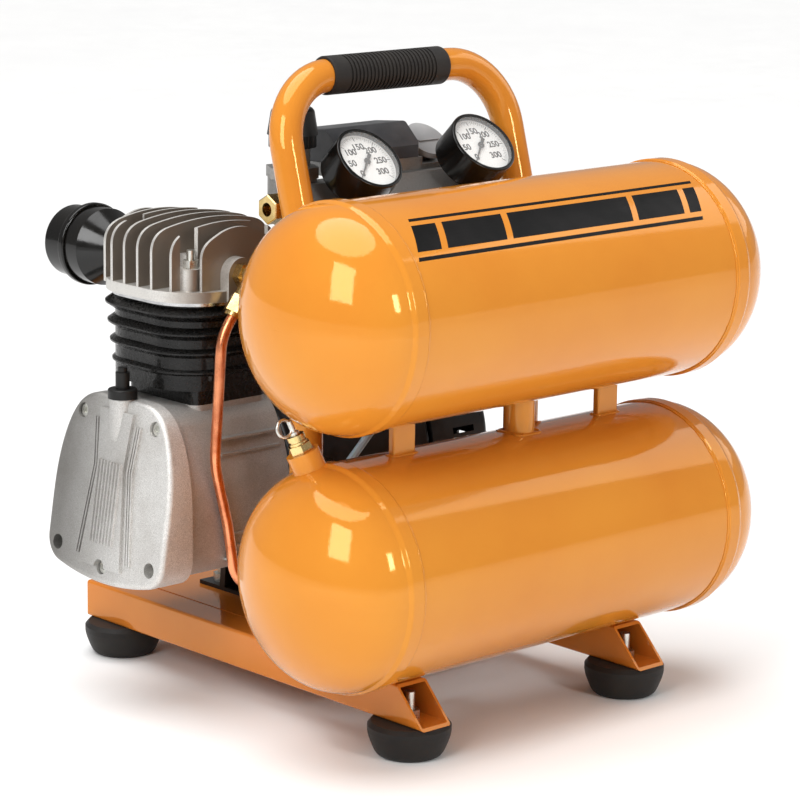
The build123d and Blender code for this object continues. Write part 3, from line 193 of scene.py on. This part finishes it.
def cover_shade(r):
    """A mask of painted shade along the cover, darker towards its far side; its measures are metres of the
    piece's Y.
    """
    split = r.node("ShaderNodeSeparateXYZ")
    r.link(r.coords, split.inputs[0])
    return r.span(split.outputs["Y"], 0.0, 0.72, 0.05, 0.135)


def fin_shade(r):
    """A mask of painted shade on the fin sides that face the front."""
    return r.facing("Y", -0.35, -0.9)


def black_casting():
    """Gloss black over rough sand-cast iron."""
    r = Recipe("black_cast_iron", Coat_Weight=0.25, Coat_Roughness=0.06, Specular_IOR_Level=0.2)
    lumps = r.noise(330.0, 6.0, 0.68)
    r.colour(r.ramp(r.noise(60.0, 4.0), [(0.3, (0.002, 0.002, 0.002)), (0.8, (0.006, 0.005, 0.004))]))
    r.rough(lumps, 0.16, 0.34)
    r.bump(lumps, 0.0009, 0.8)
    return r.material


def metal(name, dark, light, rough=(0.16, 0.32), streak=(1.0, 1.0, 1.0), fine=900.0, depth=0.00003):
    """Bare or plated metal with directional tool marks and slight tarnish."""
    r = Recipe(name, Metallic=1.0)
    marks = r.noise(fine, 4.0, 0.6, r.stretched(streak))
    tarnish = r.noise(70.0, 5.0, 0.6)
    r.colour(r.ramp(tarnish, [(0.28, dark), (0.62, light)]))
    r.rough(marks, *rough)
    r.bump(marks, depth, 0.6)
    return r.material


def plastic(name, dark, light, rough, grain_scale=1600.0, depth=0.00004, **sockets):
    r = Recipe(name, **sockets)
    r.colour(r.ramp(r.noise(40.0, 4.0), [(0.3, dark), (0.75, light)]))
    r.rough(r.noise(90.0, 3.0), *rough)
    r.bump(r.noise(grain_scale, 2.0), depth, 0.7)
    return r.material


def rubber(name):
    r = Recipe(name, Specular_IOR_Level=0.3, Sheen_Weight=0.03, Sheen_Roughness=0.6)
    dust = r.noise(38.0, 6.0, 0.65)
    r.colour(r.ramp(dust, [(0.32, (0.005, 0.004, 0.004)), (0.78, (0.022, 0.018, 0.014))]))
    r.rough(dust, 0.48, 0.72)
    r.bump(r.noise(700.0, 4.0, 0.6), 0.00012, 0.8)
    r.bump(r.noise(60.0, 2.0), 0.0005, 0.35)
    return r.material


def lens_glass():
    r = Recipe("gauge_glass", Alpha=0.13, Specular_IOR_Level=0.9)
    r.colour(r.ramp(r.noise(60.0), [(0.3, (0.80, 0.82, 0.82)), (0.7, (0.90, 0.91, 0.91))]))
    r.rough(r.noise(30.0), 0.0, 0.03)
    r.bump(r.noise(15.0, 1.0), 0.00005, 0.2)
    return r.material


def foam():
    r = Recipe("filter_foam", Roughness=0.95)
    pores = r.cells(900.0)
    r.colour(r.ramp(pores, [(0.1, (0.02, 0.02, 0.02)), (0.6, (0.14, 0.14, 0.14))]))
    r.bump(pores, 0.0006, 1.0)
    return r.material


def laminated():
    """Stacked electrical steel: fine rings along the motor's axis."""
    r = Recipe("laminated_steel", Metallic=0.8)
    plates = r.node("ShaderNodeTexWave", wave_type="BANDS", bands_direction="X")
    plates.inputs["Scale"].default_value = 320.0
    r.link(r.coords, plates.inputs["Vector"])
    r.colour(r.ramp(plates.outputs["Fac"], [(0.1, (0.10, 0.10, 0.11)), (0.9, (0.36, 0.36, 0.37))]))
    r.rough(r.noise(200.0), 0.35, 0.55)
    r.bump(plates.outputs["Fac"], 0.0001, 0.6)
    return r.material


PAINT = enamel("tank_enamel", (0.60, 0.205, 0.022), (0.65, 0.245, 0.028))
FRAME_PAINT = enamel("frame_enamel", (0.58, 0.165, 0.020), (0.63, 0.205, 0.026), 0.00007)
CAST = casting("blasted_aluminium", (0.34, 0.33, 0.315), (0.66, 0.65, 0.63))
# the cover's far side gets painted shade
COVER_CAST = casting("cover_aluminium", (0.46, 0.45, 0.43), (0.92, 0.91, 0.89), 0.00030,
                     shade=cover_shade, painted_shade_colour=(0.06, 0.054, 0.046))
# the fin sides that face the front get painted shade
HEAD_CAST = casting("head_aluminium", (0.50, 0.485, 0.46), (0.86, 0.84, 0.80), 0.00012, (0.34, 0.52),
                    shade=fin_shade, painted_shade_colour=(0.24, 0.20, 0.165))
ZINC_CAST = casting("zinc_casting", (0.20, 0.20, 0.20), (0.40, 0.40, 0.39), 0.00010, (0.35, 0.55))
BLACK_IRON = black_casting()
STEEL = metal("machined_steel", (0.34, 0.34, 0.35), (0.60, 0.60, 0.60))
ZINC = metal("zinc_plate", (0.42, 0.41, 0.36), (0.72, 0.72, 0.68), (0.22, 0.42))
BRASS = metal("machined_brass", (0.52, 0.35, 0.12), (0.80, 0.60, 0.27), (0.14, 0.30))
COPPER = metal("drawn_copper", (0.52, 0.14, 0.06), (0.86, 0.33, 0.16), (0.20, 0.38), (1.0, 1.0, 0.06), 500.0)
GLOSS_BLACK = plastic("gloss_black_plastic", (0.002, 0.002, 0.002), (0.005, 0.004, 0.003), (0.10, 0.20),
                      200.0, 0.00006, Specular_IOR_Level=0.42)
MATTE_BLACK = plastic("matte_black_plastic", (0.005, 0.005, 0.005), (0.012, 0.011, 0.010), (0.36, 0.52),
                      Specular_IOR_Level=0.3)
BEZEL_BLACK = plastic("bezel_black", (0.002, 0.002, 0.002), (0.005, 0.004, 0.003), (0.12, 0.24),
                      600.0, 0.00003, Specular_IOR_Level=0.35)
GREY_PLASTIC = plastic("switch_grey_plastic", (0.035, 0.036, 0.040), (0.075, 0.076, 0.082), (0.35, 0.52))
PALE_PLASTIC = plastic("pale_grey_plastic", (0.34, 0.35, 0.36), (0.46, 0.47, 0.48), (0.38, 0.52))
MOTOR_BLACK = plastic("motor_black_enamel", (0.004, 0.004, 0.005), (0.012, 0.012, 0.013), (0.26, 0.42),
                      300.0, 0.00008, Specular_IOR_Level=0.35)
NYLON = plastic("nylon_tube", (0.30, 0.40, 0.46), (0.46, 0.56, 0.62), (0.22, 0.34), 400.0, 0.00002,
                Subsurface_Weight=0.25, Subsurface_Scale=0.002)
DIAL_WHITE = plastic("dial_white", (0.82, 0.82, 0.80), (0.90, 0.90, 0.88), (0.40, 0.50), 1200.0, 0.00001)
INK = plastic("dial_ink", (0.003, 0.003, 0.003), (0.009, 0.008, 0.008), (0.30, 0.42), 900.0, 0.00001,
              Specular_IOR_Level=0.12)
RUBBER = rubber("moulded_rubber")
GRIP_RUBBER = rubber("grip_rubber")
GLASS = lens_glass()
FOAM = foam()
LAMINATED = laminated()

SLOT_MATERIALS = {
    "tank_paint": PAINT,
    "frame_paint": FRAME_PAINT,
    "grip_rubber": GRIP_RUBBER,
    "foot_rubber": RUBBER,
    "zinc_steel": ZINC,
    "cast_aluminium": CAST,
    "black_iron": BLACK_IRON,
    "black_plastic": GLOSS_BLACK,
    "matte_black": MATTE_BLACK,
    "machined_steel": STEEL,
    "filter_foam": FOAM,
    "motor_paint": MOTOR_BLACK,
    "laminations": LAMINATED,
    "brass": BRASS,
    "copper": COPPER,
    "zinc_casting": ZINC_CAST,
    "dial_white": DIAL_WHITE,
    "lens_glass": GLASS,
    "needle_black": INK,
    "clear_tube": NYLON,
}
NODE_MATERIALS = {
    "cylinder_head": HEAD_CAST,
    "crankcase_cover": COVER_CAST,
    "switch_cover": GREY_PLASTIC,
    "switch_knob": PALE_PLASTIC,
    "gauge_cases": BEZEL_BLACK,
}
for part in frame["record"]["subparts"]:
    material = NODE_MATERIALS.get(part["node"], SLOT_MATERIALS[part["material_slot"]])
    mesh = nodes[part["node"]].data
    mesh.materials.clear()
    mesh.materials.append(material)


# ============================ mesh kit ============================
def new_piece(name, mesh, material, body="frame", smooth=True):
    piece = bpy.data.objects.new(name, mesh)
    scene.collection.objects.link(piece)
    mesh.materials.append(material)
    if smooth:
        mesh.polygons.foreach_set("use_smooth", [True] * len(mesh.polygons))
    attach(piece, body)
    return piece


def mesh_from(name, points, faces):
    mesh = bpy.data.meshes.new(name)
    mesh.from_pydata([tuple(p) for p in points], [], faces)
    mesh.update()
    return mesh


def ring_grid(ring_count, ring_size, closed=False):
    """Quads that join rings of points, in a row or in a closed loop."""
    faces = []
    for i in range(ring_count if closed else ring_count - 1):
        for j in range(ring_size):
            a, b = i * ring_size, (i + 1) % ring_count * ring_size
            k = (j + 1) % ring_size
            faces.append((a + j, a + k, b + k, b + j))
    return faces


BEAD_LUMPS = 0.5  # largest change of a bead's radius, as a part of it
LUMP_SCALE = 260  # lumps per metre, roughly
BEAD_WIDTH, BEAD_HEIGHT = 1.35, 0.8  # a bead's section beside its radius


def bead_loop(path, out_of, radius, around=8, seed=0.0):
    """Points and faces of a closed, lumpy weld bead; out_of gives the surface normal at a point."""
    points = []
    count = len(path)
    for i, centre in enumerate(path):
        along = (path[(i + 1) % count] - path[i - 1]).normalized()
        out = out_of(centre)
        side = along.cross(out).normalized()
        size = radius * (1 + BEAD_LUMPS * noise.noise(centre * LUMP_SCALE + Vector((seed, 0, 0))))
        for j in range(around):
            t = 2 * math.pi * j / around
            across, up = size * BEAD_WIDTH * math.cos(t), size * BEAD_HEIGHT * math.sin(t)
            points.append(centre + side * across + out * up)
    return points, ring_grid(count, around, closed=True)


def joined(name, parts):
    points, faces = [], []
    for part_points, part_faces in parts:
        start = len(points)
        points += part_points
        faces += [tuple(start + i for i in face) for face in part_faces]
    return mesh_from(name, points, faces)


# ============================ weld beads ============================
def tank_normal(middle):
    return lambda p: Vector((0, p.y - middle.y, p.z - middle.z)).normalized()


def circle(centre, radius, first, second, count):
    """Points of a circle that starts towards first and turns towards second."""
    return [
        centre + first * (radius * math.cos(t)) + second * (radius * math.sin(t))
        for t in (2 * math.pi * i / count for i in range(count))
    ]


def on_tank(p, middle, up):
    """The point dropped along Z onto a tank's upper or lower surface."""
    reach = math.sqrt(max(0.0, TANK_R**2 - (p.y - middle.y) ** 2))
    return Vector((p.x, p.y, middle.z + (reach if up else -reach)))


CORNER_POWER = 0.35  # 1 would give an ellipse, 0 a sharp rectangle


def squircle(value):
    return math.copysign(abs(value) ** CORNER_POWER, value)


def outline(low, high, grow, count=64):
    """A rounded rectangle round a box's plan."""
    cx, cy = (low.x + high.x) / 2, (low.y + high.y) / 2
    hx, hy = (high.x - low.x) / 2 + grow, (high.y - low.y) / 2 + grow
    loop = []
    for i in range(count):
        t = 2 * math.pi * i / count
        loop.append(Vector((cx + hx * squircle(math.cos(t)), cy + hy * squircle(math.sin(t)), 0)))
    return loop


X_AXIS, Y_AXIS, Z_AXIS = Vector((1, 0, 0)), Vector((0, 1, 0)), Vector((0, 0, 1))
SEAM_BEAD, STRAP_BEAD, LEG_BEAD = 0.8 * MM, 1.3 * MM, 1.7 * MM  # radii

beads = []
for middle in (UPPER, LOWER):
    for side in (-1, 1):
        centre = Vector((side * (SHELL_END_X - HEAD_LAP), middle.y, middle.z))
        path = circle(centre, TANK_R + 0.2 * MM, Y_AXIS, Z_AXIS, 260)
        beads.append(bead_loop(path, tank_normal(middle), SEAM_BEAD))


def split_by_x(name):
    """Boxes of a node's left and right halves."""
    halves = []
    for side in (-1, 1):
        points = [v.co for v in nodes[name].data.vertices if v.co.x * side > 0]
        halves.append([Vector([pick(p[i] for p in points) for i in range(3)]) for pick in (min, max)])
    return halves


link_low, link_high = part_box("tank_link_tube")
for low, high in [*split_by_x("tie_straps"), (link_low, link_high)]:
    for middle, up in ((LOWER, True), (UPPER, False)):
        path = [on_tank(p, middle, up) for p in outline(low, high, 0.6 * MM)]
        beads.append(bead_loop(path, tank_normal(middle), STRAP_BEAD, seed=low.x))

LEG_R = 12.2 * MM  # the handle tube's radius
LEG_BEAD_OFF = 0.4 * MM  # the bead's middle from the tube and from the rail
rail_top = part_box("left_rail")[1].z
for low, high in split_by_x("handle_tube"):
    leg_x = low.x + LEG_R if low.x < 0 else high.x - LEG_R
    leg_y = low.y + LEG_R
    centre = Vector((leg_x, leg_y, rail_top + LEG_BEAD_OFF))
    path = circle(centre, LEG_R + LEG_BEAD_OFF, X_AXIS, Y_AXIS, 72)
    beads.append(bead_loop(path, lambda p: Z_AXIS, LEG_BEAD, seed=leg_x))
new_piece("weld_beads", joined("weld_beads", beads), PAINT)


# ============================ tank decal ============================
DECAL_FOOT = 36  # degrees up from the front of the upper tank
DECAL_SLANT = 14 / 25  # lean towards +X, in mm per degree up from the foot
DECAL_TOP, DECAL_BASE = 0.14 * MM, -0.1 * MM  # above and below the tank's skin
DECAL_ROWS = (  # start and end in degrees, then the blocks' left and right edges at the foot, in mm
    (DECAL_FOOT, 38, ((-150, 132),)),
    (41, 57, ((-150, -128), (-122, -66), (-60, 60), (66, 114), (120, 132))),
    (60, 62, ((-150, 132),)),
)


def decal_block(left, right, low, high, steps=8):
    """Points and faces of one thin, slanted block, curved to the upper tank."""
    points = []
    for i in range(steps + 1):
        degrees = low + (high - low) * i / steps
        angle = math.radians(degrees)
        lean = DECAL_SLANT * (degrees - DECAL_FOOT)
        corners = ((left, DECAL_TOP), (right, DECAL_TOP), (right, DECAL_BASE), (left, DECAL_BASE))
        for x, off in corners:
            reach = TANK_R + off
            y, z = UPPER.y - reach * math.cos(angle), UPPER.z + reach * math.sin(angle)
            points.append(Vector(((x + lean) * MM, y, z)))
    faces = ring_grid(steps + 1, 4)
    faces.append((0, 3, 2, 1))
    faces.append(tuple(4 * steps + k for k in range(4)))
    return points, faces


blocks = [
    decal_block(left, right, low, high) for low, high, spans in DECAL_ROWS for left, right in spans
]
new_piece("tank_decal", joined("tank_decal", blocks), INK, smooth=False)


# ============================ gauges ============================
GAUGE_OUT = Vector((0, -1, 1)).normalized()
GAUGE_UP = Vector((0, 1, 1)).normalized()
DIAL_ZERO, DIAL_SWEEP, DIAL_TOP = 225.0, 270.0, 300  # two angles in degrees and the last figure
TICK_STEP, HALF_STEP, FIGURE_STEP = 5, 10, 50
PRINT_OFF = 0.46 * MM  # the print's middle from the dial's middle
PRINT_DEPTH = 0.05 * MM
FIGURE_SIZE, FIGURE_DEPTH, FIGURE_WEIGHT = 7.4 * MM, 0.03 * MM, 0.00022
TICK_END, FIGURE_REACH = 0.94, 0.56  # parts of the dial's radius
FIGURE_TICK, HALF_TICK, SMALL_TICK = 0.16, 0.11, 0.07  # lengths, as parts of the dial's radius
BOLD_WIDTH, FINE_WIDTH = 0.55 * MM, 0.22 * MM


def dial_frame(low, high):
    """Matrix of one dial's printed face: local x right, y up the dial, z out."""
    centre = (low + high) / 2 + GAUGE_OUT * PRINT_OFF
    axes = Matrix((X_AXIS, GAUGE_UP, GAUGE_OUT)).transposed().to_4x4()
    return Matrix.Translation(centre) @ axes


def dial_angle(value):
    return math.radians(DIAL_ZERO - DIAL_SWEEP * value / DIAL_TOP)


def flat_text(body):
    """A mesh of one figure, centred on its origin."""
    curve = bpy.data.curves.new("figures", "FONT")
    curve.body = body
    curve.size = FIGURE_SIZE
    curve.align_x = curve.align_y = "CENTER"
    curve.extrude = FIGURE_DEPTH
    curve.offset = FIGURE_WEIGHT
    holder = bpy.data.objects.new("figures", curve)
    scene.collection.objects.link(holder)
    bpy.context.view_layer.update()
    mesh = bpy.data.meshes.new_from_object(holder.evaluated_get(bpy.context.evaluated_depsgraph_get()))
    bpy.data.objects.remove(holder)
    bpy.data.curves.remove(curve)
    return mesh


def add_bar(made, matrix, length, width):
    """A flat printed bar along local x, in a bmesh."""
    placed = matrix @ Matrix.Diagonal((length, width, PRINT_DEPTH, 1))
    bmesh.ops.create_cube(made, size=1.0, matrix=placed)


def dial_print(name, low, high):
    """Ticks and figures on the dial whose box runs from low to high."""
    made = bmesh.new()
    radius = (high.x - low.x) / 2
    for value in range(0, DIAL_TOP + 1, TICK_STEP):
        if value % FIGURE_STEP == 0:
            length, width = FIGURE_TICK * radius, BOLD_WIDTH
        else:
            length, width = (SMALL_TICK if value % HALF_STEP else HALF_TICK) * radius, FINE_WIDTH
        place = Matrix.Translation((TICK_END * radius - length / 2, 0, 0))
        add_bar(made, Matrix.Rotation(dial_angle(value), 4, "Z") @ place, length, width)
    for value in range(0, DIAL_TOP + 1, FIGURE_STEP):
        angle = dial_angle(value)
        figures = flat_text(str(value))
        reach = FIGURE_REACH * radius
        figures.transform(Matrix.Translation((reach * math.cos(angle), reach * math.sin(angle), 0)))
        made.from_mesh(figures)
        bpy.data.meshes.remove(figures)
    mesh = bpy.data.meshes.new(name)
    made.transform(dial_frame(low, high))
    made.to_mesh(mesh)
    made.free()
    new_piece(name, mesh, INK, smooth=False)


for name, (low, high) in zip(("outlet_dial_print", "tank_dial_print"), split_by_x("gauge_dials")):
    dial_print(name, low, high)


# ============================ camera, floor and light ============================
camera_data = bpy.data.cameras.new("camera")
camera_data.lens = 143.9
camera_data.sensor_width = 36.0
camera_data.clip_end = 60.0
camera = bpy.data.objects.new("camera", camera_data)
scene.collection.objects.link(camera)
scene.camera = camera
# the photo's viewpoint, from a fit on the tanks, rails and feet
CAMERA_PLACE = Vector((-1.5902, -1.7167, 0.7333))
CAMERA_TURN, CAMERA_DROP, CAMERA_ROLL = (math.radians(degrees) for degrees in (-43.05, 12.48, 0.80))
camera.matrix_world = (
    Matrix.Translation(CAMERA_PLACE)
    @ Matrix.Rotation(CAMERA_TURN, 4, "Z")
    @ Matrix.Rotation(math.pi / 2 - CAMERA_DROP, 4, "X")
    @ Matrix.Rotation(CAMERA_ROLL, 4, "Z")
)


def floor_material():
    r = Recipe("studio_floor", Specular_IOR_Level=0.2)
    r.colour(r.ramp(r.noise(3.0), [(0.2, (0.86, 0.86, 0.86)), (0.8, (0.90, 0.90, 0.895))]))
    r.rough(r.noise(20.0), 0.55, 0.7)
    return r.material


FLOOR_REACH = 30
floor_corners = [(x * FLOOR_REACH, y * FLOOR_REACH, 0) for x, y in ((-1, -1), (1, -1), (1, 1), (-1, 1))]
floor_mesh = mesh_from("studio_floor", floor_corners, [(0, 1, 2, 3)])
floor_mesh.materials.append(floor_material())
floor = bpy.data.objects.new("studio_floor", floor_mesh)
floor.location.z = -0.05 * MM  # just under the feet
scene.collection.objects.link(floor)


LIGHT_TARGET = Vector((0, 0, 0.22))


def soft_light(name, azimuth, elevation, distance, width, height, power):
    """A softbox aimed at the object; azimuth 0 stands in front (-Y) and a negative one towards -X."""
    data = bpy.data.lights.new(name, "AREA")
    data.shape = "RECTANGLE"
    data.size, data.size_y = width, height
    data.energy = power
    lamp = bpy.data.objects.new(name, data)
    a, e = math.radians(azimuth), math.radians(elevation)
    out = Vector((math.sin(a) * math.cos(e), -math.cos(a) * math.cos(e), math.sin(e)))
    lamp.location = LIGHT_TARGET + out * distance
    lamp.rotation_euler = (-out).to_track_quat("-Z", "Y").to_euler()
    scene.collection.objects.link(lamp)


soft_light("key_softbox", -72, 33, 2.4, 0.9, 1.3, 30)
soft_light("front_softbox", -2, 21, 2.4, 0.35, 0.6, 12)
soft_light("right_fill", 75, 30, 3.0, 1.6, 1.6, 12)

overhead_data = bpy.data.lights.new("overhead_silk", "SUN")
overhead_data.energy = 2.7
overhead_data.angle = math.radians(55)
overhead = bpy.data.objects.new("overhead_silk", overhead_data)
overhead.rotation_euler = (math.radians(-8), math.radians(-6), 0)
scene.collection.objects.link(overhead)

world = bpy.data.worlds.new("studio")
scene.world = world
world.use_nodes = True
background = world.node_tree.nodes["Background"]
background.inputs["Color"].default_value = (1.0, 0.99, 0.98, 1.0)
background.inputs["Strength"].default_value = 0.32
